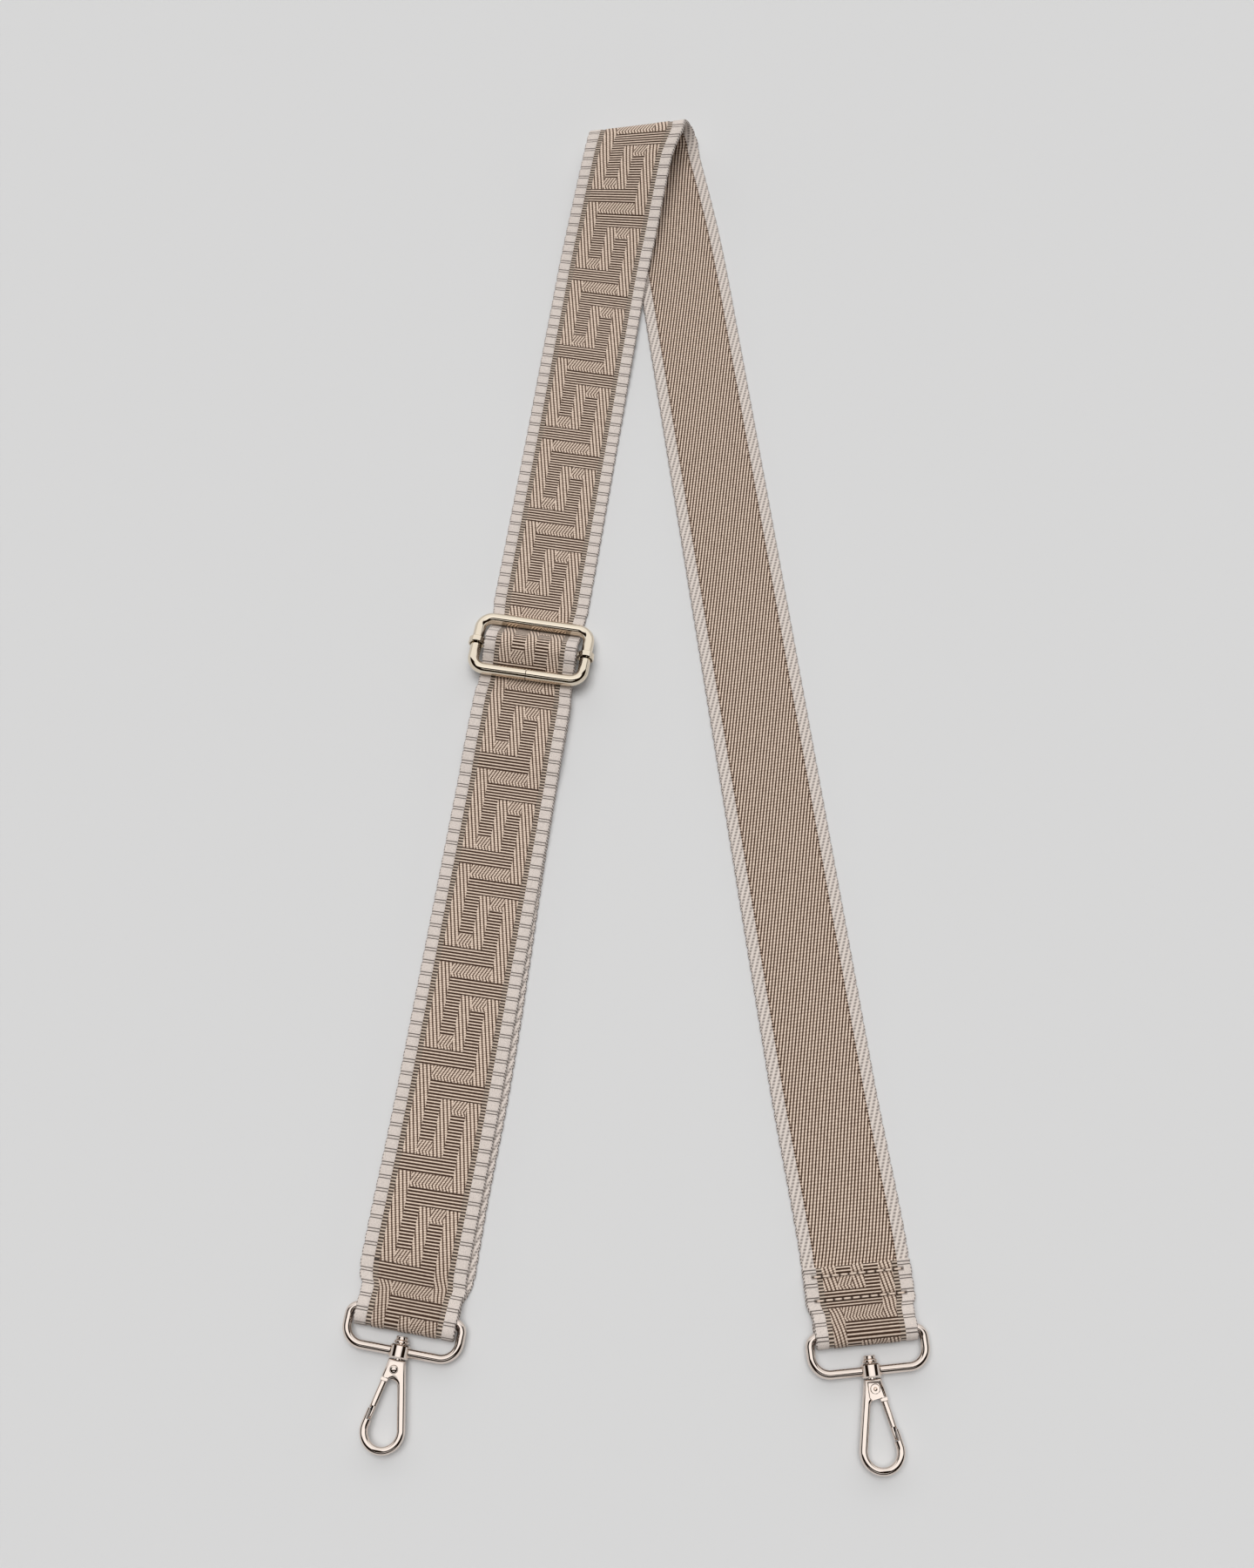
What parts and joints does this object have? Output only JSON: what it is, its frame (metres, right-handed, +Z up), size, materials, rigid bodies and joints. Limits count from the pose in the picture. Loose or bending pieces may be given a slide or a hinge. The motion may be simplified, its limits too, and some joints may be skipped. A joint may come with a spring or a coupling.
{
  "type": "bag strap",
  "caption": "Wide woven shoulder strap with a sliding length adjuster, a wire ring at each end and swivel snap hooks, folded over and lying flat.",
  "frame": {"origin": "centre of the strap's outline, on the surface it lies on", "axes": "+Z up from that surface, +Y from the hooks towards the fold, +X across to the leg without the slider"},
  "size_m": [0.2002, 0.5474, 0.0179],
  "materials": {
    "webbing": "woven taupe jacquard with pale borders",
    "thread": "taupe polyester thread",
    "pale_gold": "polished pale gold plating",
    "spring_wire": "drawn spring wire"
  },
  "bodies": {
    "strap": {"web_right_run": "webbing", "web_top_fold": "webbing", "web_left_upper_run": "webbing", "web_right_end": "webbing", "right_end_stitch_row_1_top": "thread", "right_end_stitch_row_1_under": "thread", "right_end_stitch_row_2_top": "thread", "right_end_stitch_row_2_under": "thread"},
    "slider": {"slider_centre_bar": "pale_gold", "web_slider_tail_loop": "webbing", "web_slider_bridge": "webbing", "slider_stitch_row_1_top": "thread", "slider_stitch_row_1_under": "thread", "slider_stitch_row_2_top": "thread", "slider_stitch_row_2_under": "thread"},
    "slider_wire_frame": {"slider_frame": "pale_gold"},
    "left_end": {"web_left_end": "webbing", "web_left_front_run": "webbing", "web_left_return_run": "webbing"},
    "left_loop": {"left_ring": "pale_gold"},
    "left_hook": {"left_snap_hook": "pale_gold", "left_swivel_post": "pale_gold", "left_gate_rivet": "pale_gold", "left_gate_spring": "spring_wire"},
    "left_gate_lever": {"left_gate": "pale_gold"},
    "right_loop": {"right_ring": "pale_gold"},
    "right_hook": {"right_snap_hook": "pale_gold", "right_swivel_post": "pale_gold", "right_gate_rivet": "pale_gold", "right_gate_spring": "spring_wire"},
    "right_gate_lever": {"right_gate": "pale_gold"}
  },
  "joints": [
    {"name": "slider_travel", "type": "slide", "parent": "strap", "child": "slider", "axis": [0.1518, 0.9884, 0], "range_m": [-0.25, 0.08], "deforming": ["web_left_upper_run"]},
    {"name": "left_end_travel", "type": "slide", "parent": "slider", "child": "left_end", "axis": [0.1518, 0.9884, 0], "range_m": [-0.04, 0.125], "deforming": ["web_left_front_run", "web_left_return_run"]},
    {"name": "slider_frame_play", "type": "slide", "parent": "slider", "child": "slider_wire_frame", "axis": [0.1498, 0.9754, -0.1617], "range_m": [-0.0005, 0.0005]},
    {"name": "left_ring_swing", "type": "hinge", "parent": "left_end", "child": "left_loop", "pos_m": [-0.07815, -0.22192, 0.00355], "axis": [0.9841, -0.1776, 0], "range_deg": [-135, 115]},
    {"name": "left_hook_swivel", "type": "hinge", "parent": "left_loop", "child": "left_hook", "pos_m": [-0.08037, -0.23422, 0.00355], "axis": [0.1776, 0.9841, 0], "continuous": true},
    {"name": "left_gate_opening", "type": "hinge", "parent": "left_hook", "child": "left_gate_lever", "pos_m": [-0.08182, -0.24001, 0.00355], "axis": [0, 0, 1], "range_deg": [0, 25], "stiffness_Nm_per_rad": 0.05, "springref_deg": -17.19},
    {"name": "right_ring_swing", "type": "hinge", "parent": "strap", "child": "right_loop", "pos_m": [0.07846, -0.22795, 0.00355], "axis": [0.9951, 0.0985, 0], "range_deg": [-135, 115]},
    {"name": "right_hook_swivel", "type": "hinge", "parent": "right_loop", "child": "right_hook", "pos_m": [0.07969, -0.24039, 0.00355], "axis": [-0.0985, 0.9951, 0], "continuous": true},
    {"name": "right_gate_opening", "type": "hinge", "parent": "right_hook", "child": "right_gate_lever", "pos_m": [0.08067, -0.24627, 0.00355], "axis": [0, 0, -1], "range_deg": [0, 25], "stiffness_Nm_per_rad": 0.05, "springref_deg": -17.19}
  ],
  "couplings": [
    {"joint": "left_end_travel", "follows": "slider_travel", "ratio": -0.5}
  ]
}
